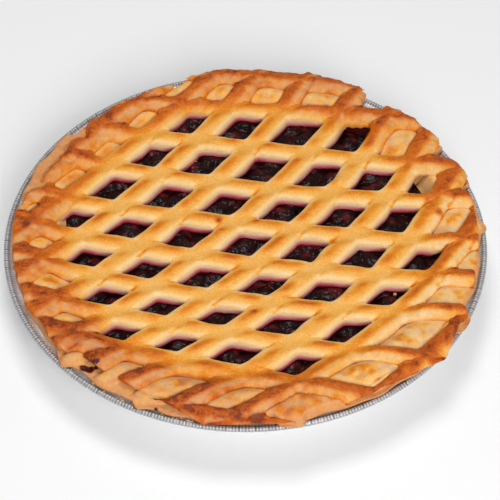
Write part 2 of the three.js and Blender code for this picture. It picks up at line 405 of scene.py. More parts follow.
# (x, y, radius, how much browner)
BURNT_SPOTS = [
    (-15.6, 10.2, 1.7, 0.6), (6.1, 10.1, 1.8, 0.35), (50.2, -6, 2.2, 0.45),
    (112.7, 14.1, 2.2, 0.9), (106.9, 24.7, 2, 0.45), (5.3, -60.6, 1.3, 0.35),
    (31.2, -48.1, 1.8, 0.4), (-127, 1.6, 1.6, 0.45), (7.2, -136.5, 1, 0.3),
]
# (x, y, radius, how dark)
JUICE_SPOTS = [
    (-88, -99.5, 2.6, 1), (-84.5, -101, 3, 1), (-81, -99, 2.4, 0.9), (-118.9, -68.1, 3, 1),
    (-61.6, -126.8, 4, 0.9), (-66, -122, 3, 0.9), (-48, -130, 4, 0.8),
]
# (x, y, radius, how dark), where juice covers the case's inner edge
FLOODED = [(70, 95, 9, 1)]
SPOT_EDGE = (0.42, 0.62)
FLOOD_EDGE = (0.3, 0.45)


def rim_heat(degrees):
    """0 on the rim's right side, which browned the least, and 1 elsewhere."""
    from_right = abs((degrees - RIGHT_SIDE + 180) % 360 - 180)
    return ease(from_right, *HEAT_FADE)


def near_left(degrees):
    """1 on the rim's near left part, which is the brownest and the driest."""
    return within(degrees, *NEAR_LEFT_ARC)


def strongest_spot(spots, x, y):
    """How strongly the strongest of the spots works at a point."""
    return max(power * hump(math.hypot(x - px, y - py), 0, r) for px, py, r, power in spots)


def boiled_over(x, y):
    """1 where juice boiled over and dried, with a fairly sharp, wavy outline."""
    ragged = 0.3 * rough(x, y, 2.6, seed=61)
    return ease(strongest_spot(JUICE_SPOTS, x, y) + ragged, *SPOT_EDGE)


print("burnt spots:", len(BURNT_SPOTS), "juice spots:", len(JUICE_SPOTS))

# %% [markdown]
# ## From a bmesh to a finished piece
#
# Every piece ends in the same way: its millimetres become metres, faces point outwards,
# and numbers that were worked out for each vertex are stored as attributes, where a
# material can read them.


# %% Finish a piece
WEDGES = 20
WELD = 1e-3


def new_object(name, data):
    obj = bpy.data.objects.new(name, data)
    bpy.context.scene.collection.objects.link(obj)
    return obj


def to_object(name, bm, marks=None):
    """Turns a bmesh in millimetres into a smooth object, with its marks as attributes."""
    bmesh.ops.scale(bm, vec=(MM, MM, MM), verts=bm.verts)
    mesh = bpy.data.meshes.new(name)
    bm.to_mesh(mesh)
    bm.free()
    for title, values in (marks or {}).items():
        layer = mesh.attributes.new(title, "FLOAT", "POINT")
        layer.data.foreach_set("value", values)
    mesh.shade_smooth()
    obj = new_object(name, mesh)
    print(name, "has", len(mesh.vertices), "vertices")
    return obj


def stand_for(obj, node):
    """The piece replaces a node of the frame, and rides on the frame's one body."""
    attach(obj, "root")
    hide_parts(node)


def spin_profile(bm, points, steps):
    """Spins a line of (radius, height) points once round the upright axis.

    One spin of many steps is slow, so a wedge is spun, and copies of it close the ring.
    """
    verts = [bm.verts.new((radius, 0, height)) for radius, height in points]
    edges = [bm.edges.new(pair) for pair in zip(verts, verts[1:])]
    wedge_angle = math.tau / WEDGES
    bmesh.ops.spin(
        bm,
        geom=verts + edges,
        cent=(0, 0, 0),
        axis=(0, 0, 1),
        angle=wedge_angle,
        steps=steps // WEDGES,
    )
    wedge = bm.verts[:] + bm.edges[:] + bm.faces[:]
    for count in range(1, WEDGES):
        copy = bmesh.ops.duplicate(bm, geom=wedge)["geom"]
        moved = [item for item in copy if isinstance(item, bmesh.types.BMVert)]
        turn = Matrix.Rotation(wedge_angle * count, 3, "Z")
        bmesh.ops.rotate(bm, cent=(0, 0, 0), matrix=turn, verts=moved)
    bmesh.ops.remove_doubles(bm, verts=bm.verts, dist=WELD)
    bmesh.ops.recalc_face_normals(bm, faces=bm.faces)


def between(start, end, count):
    """The numbers from start to end in equal steps, without the start."""
    return [lerp(start, end, (i + 1) / count) for i in range(count)]


# %% [markdown]
# ## The foil tin
#
# A pie tin is pressed from one sheet of foil: a flat base, a sloping wall that folds
# into fine pleats, a flat rim, and an edge that is rolled into a bead and crimped. It
# could be a lathe shape with a bump map, but the crimps show on the silhouette. So the
# profile is spun in four columns for each crimp, and the columns move in turn.

# %% Tin sizes
CRIMPS = 490
COLUMNS_PER_CRIMP = 4
CRIMP_DEPTH = 0.4
# each crimp has its own part of that depth, and between two the bead gets painted shade too
CRIMP_PARTS = (0.15, 1.2)
CRIMP_CHANGE = 0.31
BEAD_SHADE = 0.35
PLEAT_DEPTH = 0.5
PLEAT_WAVES = 60
PLEAT_START = (2, 12)
PLEAT_END = (27, 29)
BASE_EDGE = 0.6
WALL_ROWS = 6
RIM_ROWS = 3
BEAD_SIDES = 14
BEAD_FROM = 185
BEAD_TO = 525
# from about this radius on a point belongs to the bead
ON_BEAD = BEAD_MIDDLE - BEAD_RADIUS - 0.1


# %% Tin profile
def tin_profile():
    under = RIM_HEIGHT - FOIL
    points = [(0, 0), (BASE_RADIUS - BASE_CORNER, 0), (BASE_RADIUS - BASE_EDGE, BASE_EDGE)]
    points.append((BASE_RADIUS, BASE_CORNER))
    for part in between(0, 1, WALL_ROWS):
        radius = lerp(BASE_RADIUS, RIM_INNER_RADIUS, part)
        points.append((radius, lerp(BASE_CORNER, under, part)))
    for side in range(BEAD_SIDES + 1):
        angle = math.radians(lerp(BEAD_FROM, BEAD_TO, side / BEAD_SIDES))
        radius = BEAD_MIDDLE + BEAD_RADIUS * math.cos(angle)
        points.append((radius, BEAD_HEIGHT + BEAD_RADIUS * math.sin(angle)))
    flat_start = points[-1][0]
    flat_end = RIM_INNER_RADIUS - FOIL / 2
    points += [(radius, RIM_HEIGHT) for radius in between(flat_start, flat_end, RIM_ROWS)]
    points.append((BASE_RADIUS - FOIL, BASE_CORNER))
    points.append((BASE_RADIUS - FOIL - BASE_CORNER / 2, FOIL))
    points.append((0, FOIL))
    return points


# %% Crimp the bead and pleat the wall
def crimp(vert, radius, column):
    """Pinches the middle column of each crimp. Returns its radius and its painted shade."""
    pinch = (1 - math.cos(math.tau * column / COLUMNS_PER_CRIMP)) / 2
    uneven = 0.7 + 0.9 * noise.noise(Vector((column * CRIMP_CHANGE, 0, 7)))
    pinch *= clamp(uneven, *CRIMP_PARTS)
    keep = 1 - CRIMP_DEPTH * pinch / BEAD_RADIUS
    vert.co.z = BEAD_HEIGHT + (vert.co.z - BEAD_HEIGHT) * keep
    return BEAD_MIDDLE + (radius - BEAD_MIDDLE) * keep, lerp(BEAD_SHADE, 1, pinch)


def pleated(radius, degrees, height):
    """Radius of the wall: pleats grow from the base up and fade out at the rim."""
    fold = noise.noise(Vector((*around(PLEAT_WAVES, degrees), 3)))
    fold = clamp(abs(fold) * 2 - 0.6)
    climb = ease(height, *PLEAT_START) * (1 - ease(height, *PLEAT_END))
    return radius - PLEAT_DEPTH * fold * climb


def press_foil(bm):
    """Moves the spun columns, and returns each vertex's painted shade in the bead's grooves."""
    groove_shades = []
    for vert in bm.verts:
        radius, degrees = polar(vert.co.x, vert.co.y)
        groove_shade = 0.0
        if radius > ON_BEAD:
            column = round(degrees / 360 * CRIMPS * COLUMNS_PER_CRIMP)
            radius, groove_shade = crimp(vert, radius, column)
        elif vert.co.z > 1 and radius > BASE_RADIUS - 1:
            radius = pleated(radius, degrees, vert.co.z)
        vert.co.xy = around(radius, degrees)
        groove_shades.append(groove_shade)
    return groove_shades


tin_bm = bmesh.new()
spin_profile(tin_bm, tin_profile(), CRIMPS * COLUMNS_PER_CRIMP)
groove_shades = press_foil(tin_bm)
foil_tin = to_object("foil_tin_pressed", tin_bm, {"groove_shade": groove_shades})
stand_for(foil_tin, "foil_tin")

# %% [markdown]
# ## The berry filling
#
# Cooked berries lie in thick juice, packed side by side, and their skins are wrinkled.
# Loose berries would be hidden for the most part, so the filling is one surface: a fine
# grid, cut round, pulled up into a berry dome in every cell of a scattered pattern, and
# wrinkled. Its edge is extruded down into the case, so that the piece is closed.

# %% Filling sizes
GRID_STEP = 0.85
BERRY_SIZE = 11.5
BERRY_RISE = 2.2
# a berry's dome ends at this part of its size, and its power shapes the crown
BERRY_REACH = 0.66
BERRY_CROWN = 0.75
BERRY_SHIFT = 2
JUICE_LEVEL = -1.9
WRINKLE_SIZE = 6.5
WRINKLE_DEPTH = 0.6
JUICE_WRINKLE = 0.3
LUMP_SIZE = 14
LUMP_HEIGHT = 0.9
# the filling is lower by this where the case covers it
COVERED_DROP = 3.5
COVERED_FROM = 111.5
SHELF_OVERLAP = 1.5


# %% Filling surface
def berry_dome(x, y):
    """Part of the berry's height at a point: 1 on top, 0 in the juice around it."""
    place = Vector((x / BERRY_SIZE, y / BERRY_SIZE, 2.5))
    distance = noise.voronoi(place)[0][0]
    return max(0, 1 - (distance / BERRY_REACH) ** 2) ** BERRY_CROWN


def filling_top(x, y):
    """Height of the filling's surface at a point."""
    radius = math.hypot(x, y)
    shift = [BERRY_SHIFT * rough(x, y, 9, seed) for seed in (5, 9)]
    dome = berry_dome(x + shift[0], y + shift[1])
    wrinkle = WRINKLE_DEPTH * (1 - 2 * abs(rough(x, y, WRINKLE_SIZE, seed=1)))
    rise = JUICE_LEVEL + BERRY_RISE * dome + wrinkle * lerp(JUICE_WRINKLE, 1, dome)
    rise += LUMP_HEIGHT * rough(x, y, LUMP_SIZE, seed=4)
    covered = ease(radius, COVERED_FROM, FILLING_RADIUS)
    if radius > CASE_SHELF + SHELF_OVERLAP and in_patch(x, y):
        covered = 1
    return filling_height(radius) + min(rise, FIT_GAP) - COVERED_DROP * covered


def filling_mesh():
    bm = bmesh.new()
    radius = FILLING_RADIUS - FIT_GAP
    cells = round(2 * radius / GRID_STEP)
    bmesh.ops.create_grid(bm, x_segments=cells, y_segments=cells, size=radius)
    outside = [v for v in bm.verts if v.co.length > radius - GRID_STEP / 2]
    bmesh.ops.delete(bm, geom=outside, context="VERTS")
    rim = [edge for edge in bm.edges if edge.is_boundary]
    wall = bmesh.ops.extrude_edge_only(bm, edges=rim)
    foot = [item for item in wall["geom"] if isinstance(item, bmesh.types.BMVert)]
    hanging = set(foot)
    for vert in bm.verts:
        if vert not in hanging:
            vert.co.z = filling_top(vert.co.x, vert.co.y)
    floor = FOIL + CASE_GAP + CASE_FLOOR + FIT_GAP
    shrink = (BASE_RADIUS - FOIL - CASE_GAP - CASE_WALL - FIT_GAP) / radius
    for vert in foot:
        vert.co = Vector((vert.co.x * shrink, vert.co.y * shrink, floor))
    bottom = [edge for edge in bm.edges if edge.is_boundary]
    bmesh.ops.contextual_create(bm, geom=bottom)
    bmesh.ops.recalc_face_normals(bm, faces=bm.faces)
    return bm


filling = to_object("berry_filling", filling_mesh())
stand_for(filling, "filling")

# %% [markdown]
# ## The pastry case
#
# The base crust lines the tin and spreads over its rim. Between the strips it puffed up
# into pillows that are almost as high as the strips, with a crease round each that is
# browned and darkened with painted shade. A spun profile gives even faces all round; then
# each top vertex takes the height of the pillow at its place, or ducks under the strip
# that lies on it.

# %% Case sizes
CASE_COLUMNS = 900
PILLOW_RISE = 3
PILLOW_SHOULDER = 5
PILLOW_START = 0.2
MERGED_RISE = 3.9
BARE_RISE = 2.2
DUCK_UNDER = 1.2
DUCK_WIDTH = 1.5
# the case's inner edge lies under the filling's surface by this
CASE_TUCK = 3.4
SHELF_RAMP = 2
CASE_SETBACK = 2.2
FLUSH_SETBACK = 1.2
CASE_LEDGE = 6
INNER_SHIFT = 9
CRUST_BAND_START = 130.5
FAR_OFF = 12
LIP_ROUNDING = 2.6
LIP_THICKNESS = 1.2
BEAD_RAMP_START = 3.6
BEAD_RAMP_END = 1.6

# %% Stretches of the rim
# Each goes from one angle to another, in degrees, and its ends are softened by the third.
FLUSH_ARC = (300, 386, 8)
LEDGE_ARC = (222, 246, 4)
LEFT_ARC = (163, 181, 3)
CRUST_BAND_ARC = (238, 332, 3)
# where the pillows are lower, and by which part
LOW_PILLOWS = [((112, 162, 6), 0.6), ((318, 406, 10), 0.55)]


# %% Case surface
def underside_height(radius):
    """Clear of the tin's flat rim, then over its bead."""
    bead_start = TIN_RADIUS - 2 * BEAD_RADIUS
    ramp = ease(radius, bead_start - BEAD_RAMP_START, bead_start - BEAD_RAMP_END)
    return lerp(RIM_HEIGHT, BEAD_HEIGHT + BEAD_RADIUS, ramp) + CASE_GAP


def case_edge(degrees):
    """The case ends inside the strips' ends, but sticks out where it is bare."""
    bare = clamp(bare_width(degrees) / WHOLLY_BARE)
    flush = max(bare, within(degrees, *FLUSH_ARC))
    setback = lerp(CASE_SETBACK, FLUSH_SETBACK, flush)
    return edge_radius(degrees) - setback + CASE_LEDGE * within(degrees, *LEDGE_ARC)


def case_inner_start(degrees):
    """Radius at which the case comes out of the filling, further in on the left."""
    return FILLING_RADIUS - INNER_SHIFT * within(degrees, *LEFT_ARC)


def patch_gap(x, y):
    """Distance to what closes a patch in: a strip, or the crust band at the front."""
    radius, degrees = polar(x, y)
    band = abs(radius - CRUST_BAND_START - rough(x, y, 12, seed=25))
    no_band = 1 - within(degrees, *CRUST_BAND_ARC)
    return min(gap_to_strips(x, y), band + FAR_OFF * no_band)


def puffed_up(x, y, degrees, pillow):
    """How high the crust rose between the strips, apart from its fine relief."""
    if cell_at(x, y) == MERGED_CELL:
        return MERGED_RISE + 0.6 * rough(x, y, 6, seed=23)
    rise = lerp(PILLOW_START, PILLOW_RISE, pillow) * (0.95 + 0.3 * rough(x, y, 16, seed=21))
    for arc, lower in LOW_PILLOWS:
        rise *= 1 - lower * within(degrees, *arc)
    return rise


def case_top(x, y, edge):
    """Height of the case's top side at a point."""
    radius, degrees = polar(x, y)
    bare = on_bare_band(radius, degrees)
    gap = lerp(patch_gap(x, y), PILLOW_SHOULDER, bare)
    pillow = quarter_round(clamp(gap / PILLOW_SHOULDER))
    rise = lerp(puffed_up(x, y, degrees, pillow), BARE_RISE, bare)
    rise += (0.35 * rough(x, y, 4.5, seed=22) + 0.7 * rough(x, y, 8, seed=24)) * pillow
    if gap < 0:
        rise = -DUCK_UNDER * ease(-gap, 0, DUCK_WIDTH)
    start = case_inner_start(degrees)
    inner = ease(radius, start - 1, start + CASE_INNER_RAMP)
    if in_patch(x, y):
        inner = ease(radius, CASE_SHELF, CASE_SHELF + SHELF_RAMP)
    height = lerp(filling_height(radius) - CASE_TUCK, rest_height(radius) + rise, inner)
    low = underside_height(radius) + LIP_THICKNESS
    return lerp(low, height, quarter_round(clamp((edge - radius) / LIP_ROUNDING)))


# %% Case mesh
# A row's height over the rim tells what it belongs to: 0 is the underside, the lip's two
# rows come next, and then the top side.
TOP_ROW = 3
UNDERSIDE_PARTS = (0.35, 0.6, 0.8, 1)
EDGE_ROWS = 14
TOP_ROWS = 34
EDGE_CROWDING = 1.5
LIP_STEP = 0.5
HIDDEN_DEPTH = 5.5
HIDDEN_CORNER = 3


def case_profile():
    """The case's profile, with all that lies outside the brim pulled in to 1 mm."""
    floor = FOIL + CASE_GAP
    foot = BASE_RADIUS - FOIL - CASE_GAP
    inner_foot = foot - CASE_WALL
    wall_top = RIM_INNER_RADIUS - FOIL / 2 - CASE_GAP
    top = RIM_HEIGHT + TOP_ROW
    hidden = filling_height(FILLING_RADIUS) - HIDDEN_DEPTH
    return [
        (0, floor),
        (foot - BASE_CORNER / 2, floor),
        (foot, BASE_CORNER + CASE_GAP),
        (wall_top, RIM_HEIGHT + CASE_GAP),
        *[(BRIM_RADIUS + part, RIM_HEIGHT) for part in UNDERSIDE_PARTS],
        *[(BRIM_RADIUS + 1, RIM_HEIGHT + row) for row in range(1, TOP_ROW)],
        *[(BRIM_RADIUS + 1 - part, top) for part in between(0, 1, EDGE_ROWS)],
        *[(radius, top) for radius in between(BRIM_RADIUS, CASE_SHELF, TOP_ROWS)],
        (CASE_SHELF + 1, hidden),
        (FILLING_RADIUS, hidden - 0.5),
        (inner_foot, floor + CASE_FLOOR + HIDDEN_CORNER / 2),
        (inner_foot - HIDDEN_CORNER, floor + CASE_FLOOR),
        (0, floor + CASE_FLOOR),
    ]


def case_mesh():
    bm = bmesh.new()
    spin_profile(bm, case_profile(), CASE_COLUMNS)
    for vert in bm.verts:
        row = round(vert.co.z - RIM_HEIGHT)
        if row < 0:
            continue
        radius, degrees = polar(vert.co.x, vert.co.y)
        edge = case_edge(degrees)
        if radius > BRIM_RADIUS:
            # rows crowd towards the edge, where the crust rounds off
            part = min(radius - BRIM_RADIUS, 1)
            radius = lerp(BRIM_RADIUS, edge, 1 - (1 - part) ** EDGE_CROWDING)
        x, y = around(radius, degrees)
        if row < TOP_ROW:
            z = underside_height(radius) + LIP_STEP * row
        else:
            z = case_top(x, y, edge)
        vert.co = (x, y, z)
    return bm


# %% [markdown]
# How far a spot baked, how dull it is and how much juice lies on it are numbers from 0
# to 1, worked out for each vertex from the same fields as the shape. So a pillow is
# toasted on its crown, and where it meets a strip its crease is browned and darkened
# with painted shade.

# %% Case marks
CROWN = (1, 6)
# how much darker the crease is: partly browner baking, partly painted shade
CREASE_HEAT_AND_SHADE = 0.8
CREASE_REACH = 0.6
NEAR_LEFT_HEAT = 0.09
NEAR_LEFT_PALLOR = 0.35
# inside the first radius the case is covered, and baked only to this part
COVERED_FADE = (102, 112)
COVERED_HEAT = 0.4


def case_marks(bm):
    """How brown, pale and dirty with juice the case is, for each vertex."""
    marks = {"browning": [], "pallor": [], "syrup": []}
    for vert in bm.verts:
        x, y, _ = vert.co
        radius, degrees = polar(x, y)
        gap = patch_gap(x, y)
        toast = clamp(0.45 + 1.4 * rough(x, y, 9, seed=41) + 0.9 * rough(x, y, 4, seed=42))
        toast *= ease(gap, *CROWN)
        # the crease round a pillow is darkened: partly browning, partly painted shade where a
        # strip meets it
        crease_heat_and_shade = hump(gap, 0, CREASE_REACH) * clamp(0.35 + 1.6 * rough(x, y, 9, seed=47))
        brown = 0.22 + 0.1 * rim_heat(degrees) + 0.36 * toast + CREASE_HEAT_AND_SHADE * crease_heat_and_shade
        brown += NEAR_LEFT_HEAT * near_left(degrees)
        if cell_at(x, y) == MERGED_CELL:
            brown = 0.62 + 0.3 * rough(x, y, 5, seed=44)
        edge = case_edge(degrees)
        bare = max(on_bare_band(radius, degrees), ease(radius, edge - 4, edge - 1))
        brown = lerp(brown, 0.6 + 0.2 * rough(x, y, 7, seed=46), bare)
        brown *= lerp(COVERED_HEAT, 1, ease(radius, *COVERED_FADE))
        marks["browning"].append(clamp(brown + strongest_spot(BURNT_SPOTS, x, y)))
        pale = 0.42 + 0.9 * rough(x, y, 5, seed=43) - 0.4 * toast
        pale += NEAR_LEFT_PALLOR * near_left(degrees)
        pale = lerp(pale, 0.85 + 0.4 * rough(x, y, 4, seed=45), bare)
        marks["pallor"].append(clamp(pale))
        flooded = ease(strongest_spot(FLOODED, x, y), *FLOOD_EDGE)
        marks["syrup"].append(max(boiled_over(x, y), flooded))
    return marks


case_bm = case_mesh()
case = to_object("pastry_case_baked", case_bm, case_marks(case_bm))
stand_for(case, "pastry_case")

# %% [markdown]
# ## The lattice
#
# The lid is one sheet of dough that a lattice roller cut and that was pulled open, so
# its strips merge where they cross. Strips that only pass through each other would show
# hard lines, so each strip starts as a bevelled bar that is bent along its course, and
# a voxel remesh melts all bars into one skin. Vertex moves then puff it up.

# %% Lattice sizes
BAR_CUTS = 79
BAR_SHOULDER = 2.2
SHOULDER_STEPS = 4
VOXEL = 1.18
SOFT_ROUNDS = 2
RIM_SOFT_FROM = 114
RIM_SOFT_ROUNDS = 2
# a strip's middle reaches this far past the crust's edge, and its sides less far
END_REACH = 1.3
END_ROUNDING = 3.6
END_SLANT = 1.5
OUTERMOST = 100
FARTHEST = 160
HALVINGS = 16


# %% One bent bar for each strip
def chord(family, strip, aside, side):
    """How far along a line beside a strip's middle the crust ends, towards one side."""
    reach = END_REACH - END_ROUNDING * (aside / strip[3]) ** 2
    inside = 0
    outside = FARTHEST
    for _ in range(HALVINGS):
        along = (inside + outside) / 2
        across = course(strip, along * side) + aside
        radius, degrees = polar(*from_family(family, along * side, across))
        if radius < tip_radius(degrees) + reach:
            inside = along
        else:
            outside = along
    return inside * side


def lengthwise(bm):
    """The edges that run along a bar."""
    return [edge for edge in bm.edges if abs(edge.verts[0].co.x - edge.verts[1].co.x) > 1]


def straight_bar(half):
    """A bar from -1 to 1 along X with bevelled shoulders, cut into short pieces."""
    bm = bmesh.new()
    bmesh.ops.create_cube(bm, size=2)
    bmesh.ops.scale(bm, vec=(1, half, STRIP_HEIGHT / 2), verts=bm.verts)
    bmesh.ops.translate(bm, vec=(0, 0, STRIP_HEIGHT / 2), verts=bm.verts)
    for vert in bm.verts:
        flare = CROWN_FLARE if vert.co.z > 1 else FOOT_FLARE
        vert.co.y += math.copysign(flare, vert.co.y)
    bmesh.ops.bevel(
        bm,
        geom=[edge for edge in lengthwise(bm) if edge.verts[0].co.z > 1],
        offset=BAR_SHOULDER,
        segments=SHOULDER_STEPS,
        profile=0.5,
        affect="EDGES",
        material=-1,
    )
    bmesh.ops.subdivide_edges(bm, edges=lengthwise(bm), cuts=BAR_CUTS)
    return bm


def bent_bar(family, strip):
    """A bar that follows a strip's course, climbs the rim and ends at the crust's edge."""
    half = strip[3]
    bm = straight_bar(half)
    # the outermost strips run nearly along the rim, so their ends are cut more slanting
    slant = END_SLANT + max(0, abs(strip[0]) - OUTERMOST)
    middle_low, middle_high = (chord(family, strip, 0, side) for side in (-1, 1))
    ends = {}
    for vert in bm.verts:
        aside = round(vert.co.y, 3)
        if aside not in ends:
            low = max(chord(family, strip, aside, -1), middle_low - slant)
            ends[aside] = (low, min(chord(family, strip, aside, 1), middle_high + slant))
        along = lerp(*ends[aside], (vert.co.x + 1) / 2)
        across = course(strip, along)
        wider = spread(*from_family(family, along, across)) / half
        x, y = from_family(family, along, across + aside * (1 + wider))
        radius = math.hypot(x, y)
        foot = foot_sink(radius) if vert.co.z < 0.1 else 0
        vert.co = (x, y, rest_height(radius) - foot + squeeze(radius) * vert.co.z)
    return bm


# %% Melt the bars into one sheet
def soften(bm, verts, rounds):
    for _ in range(rounds):
        bmesh.ops.smooth_vert(
            bm, verts=verts, factor=0.5, use_axis_x=True, use_axis_y=True, use_axis_z=True
        )


def melted_sheet():
    """All bars as one closed skin, a little softened, and more so on the rim."""
    sheet = bmesh.new()
    for family in FAMILIES:
        for strip in family["strips"]:
            bar = bent_bar(family, strip)
            bar_mesh = bpy.data.meshes.new("bar")
            bar.to_mesh(bar_mesh)
            bar.free()
            sheet.from_mesh(bar_mesh)
            bpy.data.meshes.remove(bar_mesh)
    mesh = bpy.data.meshes.new("bars")
    sheet.to_mesh(mesh)
    sheet.free()
    bars = new_object("bars", mesh)
    remesh = bars.modifiers.new("melt", "REMESH")
    remesh.mode = "VOXEL"
    remesh.voxel_size = VOXEL
    graph = bpy.context.evaluated_depsgraph_get()
    melted = bpy.data.meshes.new_from_object(bars.evaluated_get(graph))
    bpy.data.objects.remove(bars)
    bm = bmesh.new()
    bm.from_mesh(melted)
    for used in (mesh, melted):
        bpy.data.meshes.remove(used)
    soften(bm, bm.verts, SOFT_ROUNDS)
    on_rim = [vert for vert in bm.verts if math.hypot(vert.co.x, vert.co.y) > RIM_SOFT_FROM]
    soften(bm, on_rim, RIM_SOFT_ROUNDS)
    print("melted sheet has", len(bm.faces), "faces")
    return bm


# %% [markdown]
# Between two crossings a strip swells in the oven, and at a crossing it stays flat. The
# roller's cuts run on a little past each opening's corners, so short creases start
# there. On the rim the sheet bakes harder, and lumps and blisters stand up.


# %% Places on the lattice
SEGMENT_START = 0.7
SEGMENT_RAMP = 5
FAMILY_BLEND = 0.35


def segment(own, other):
    """1 on the crown of a strip half way between two crossings, 0 elsewhere."""
    _, off, half = own
    _, other_off, other_half = other
    on_crown = max(0, 1 - (off / half) ** 2)
    start = other_half * SEGMENT_START
    return on_crown * ease(abs(other_off), start, other_half + SEGMENT_RAMP)


def share_of_second(first, second):
    """0 on a strip of the first family, 1 on one of the second, between at a crossing."""
    closer = abs(first[1]) / first[2] - abs(second[1]) / second[2]
    return ease(closer, -FAMILY_BLEND, FAMILY_BLEND)


def place_on_lattice(point):
    """Radius, angle, height of the strip's foot, part of its height, the nearest strip
    of each family, and how far aside of the middle line, from -1 to 1.
    """
    radius, degrees = polar(point.x, point.y)
    rest = rest_height(radius)
    up = (point.z - rest) / (STRIP_HEIGHT * squeeze(radius))
    first, second = (nearest_strip(family, point.x, point.y) for family in FAMILIES)
    aside = lerp(first[1] / first[2], second[1] / second[2], share_of_second(first, second))
    return radius, degrees, rest, up, first, second, aside


# %% Creases and lumps
# Each cut that runs on into a crossing: its family, the side of the strip that it
# follows, and where it starts, in half widths of the strip that it runs into.
CUTS = [(0, 1, -0.4), (1, -1, -0.3), (1, 1, 0)]
CROSSING_REACH = 1.3
CREASE_WIDTH = 0.8
FOLD_STRETCH = 2.6


def chance(first, second, seed):
    """A number from 0 to 1 that belongs to one crossing."""
    return noise.cell(Vector((first[0] * 1.7 + 0.3, second[0] * 2.3 + 0.6, seed)))


def creases(first, second):
    """How deep the roller's cuts run on into a crossing, from 0 to 1."""
    places = (first, second)
    if any(abs(off) >= half * CROSSING_REACH for _, off, half in places):
        return 0
    deep = 0
    for seed, (own, side, start) in enumerate(CUTS, 1):
        _, off, half = places[own]
        _, other_off, other_half = places[1 - own]
        cut = hump(off, side * half, CREASE_WIDTH)
        cut *= ease(-other_off / other_half, start, 1)
        deep = max(deep, cut * chance(first, second, seed))
    return deep


def rim_lumps(x, y, first, second):
    """Blisters and folds that run along the strips on the rim, from about -1 to 1."""
    folds = []
    for family, (_, off, _) in zip(FAMILIES, (first, second)):
        along = to_family(family, x, y)[0]
        folds.append(rough(along, off * FOLD_STRETCH, 12, 36 + family["turn"]))
    fold = lerp(*folds, share_of_second(first, second))
    # doubled distance from zero gives puffs with sharp creases between them
    puffs = 2 * abs(rough(x, y, 11, seed=34)) + abs(rough(x, y, 5, seed=35)) - 0.55
    return 0.65 * fold + 0.55 * puffs


# %% Relief of the lattice
SEGMENT_PUFF = 1.0
CROSSING_DIP = 0.45
CREASE_DEPTH = 1.1
RIM_RELIEF = (104, 118)
RIM_LUMP = 1.3
RIM_CREST = 1.4
SIDE_WAVE = 1.1
WAVE_FADE = (110, 122)
TIP_ROUNDING = 3.5
TIP_HEIGHT = 0.35


def relieve_lattice(bm):
    for vert in bm.verts:
        x, y, z = vert.co
        radius, degrees, rest, up, first, second, aside = place_on_lattice(vert.co)
        rim = ease(radius, *RIM_RELIEF)
        puff = max(segment(first, second), segment(second, first))
        crossing = math.prod(max(0, 1 - (off / half) ** 2) for _, off, half in (first, second))
        lift = SEGMENT_PUFF * puff * (1 + 0.6 * rough(x, y, 22, seed=31))
        lift -= CROSSING_DIP * crossing * (1 - rim) + CREASE_DEPTH * creases(first, second)
        lift += 0.3 * rough(x, y, 9, seed=32)
        lift += lerp(0.12, 0.77, rim) * rough(x, y, 3.4, seed=33)
        crest = RIM_CREST * (hump(aside, 0.08, 0.7) - 0.8)
        lift += rim * (crest + RIM_LUMP * (rim_lumps(x, y, first, second) - 0.15))
        lift *= ease(up, 0.3, 1)
        tip = quarter_round(clamp((tip_radius(degrees) - radius) / TIP_ROUNDING))
        height = (z - rest + lift) * lerp(TIP_HEIGHT, 1, tip)
        wave = SIDE_WAVE * (1 - ease(radius, *WAVE_FADE))
        vert.co.x = clamp(x + wave * rough(x, y, 13, seed=71), *SIDE_LIMITS[0])
        vert.co.y = clamp(y + wave * rough(x, y, 13, seed=72), *SIDE_LIMITS[1])
        vert.co.z = min(rest + height, TOP_LIMIT)


# %% [markdown]
# The strips' crowns are golden, with a toasted ridge along the far side of each. At its
# foot the dough soaked up juice: the stain is dark at the filling and fades upwards to
# cream. On the rim the whole strip is browned, and its near side is paler, partly as
# pale dough and partly as a painted highlight.

# %% Marks of the lattice
STAIN_START = -0.7
STAIN_FADE = 2.6
STAIN_RIM = (106, 112)
STAIN_TOP = (0.35, 0.7)
RIM_BROWN = (94, 119)
PALE_SIDE_TOAST = (114, 130)
NEAR_SIDE_PALE_AND_HIGHLIGHT = (118, 132)


def middle_browning(x, y, up, first, second, aside):
    """Golden crowns and toasted ridges of the strips that lie on the filling."""
    uneven = clamp(0.75 + 1.3 * rough(x, y, 13, seed=51), 0.1, 1.25)
    ridge_a = segment(first, second) * hump(first[1] / first[2], 0.3, 0.45)
    ridge_b = segment(second, first) * hump(second[1] / second[2], 0.25, 0.45)
    crown = ease(up, 0.5, 0.9) * (1 - 0.7 * ease(abs(aside), 0.5, 0.95))
    return 0.1 + 0.26 * crown + 0.33 * uneven * max(ridge_a, ridge_b)


def rim_browning(x, y, toasted, lumps):
    """Far sides of rim strips are toasted; near sides are paler, partly a painted highlight."""
    radius, degrees = polar(x, y)
    cool = 1 - rim_heat(degrees)
    brown = 0.55 + 0.26 * toasted - 0.1 * cool + 0.18 * lumps + 0.07 * rough(x, y, 2.6, seed=54)
    brown += NEAR_LEFT_HEAT * near_left(degrees)
    brown += 0.12 * toasted * cool * ease(radius, *PALE_SIDE_TOAST)
    # near sides are made lighter, partly as paler dough and partly as a painted highlight, less
    # so out on the edge
    pale = 1 - 0.7 * ease(radius, *NEAR_SIDE_PALE_AND_HIGHLIGHT)
    return brown - 0.25 * (1 - toasted) * cool * pale


def soaked_up(x, y, z, up):
    """How much juice the dough soaked up, from its foot upwards."""
    radius = math.hypot(x, y)
    juicy = clamp(0.95 + 0.8 * rough(x, y, 15, seed=55), 0.35, 1.25)
    juicy *= 1 - ease(radius, *STAIN_RIM)
    above = z - filling_height(radius)
    soaked = math.exp(-max(0, above - STAIN_START) / STAIN_FADE)
    return clamp(soaked * juicy * (1 - ease(up, *STAIN_TOP)))


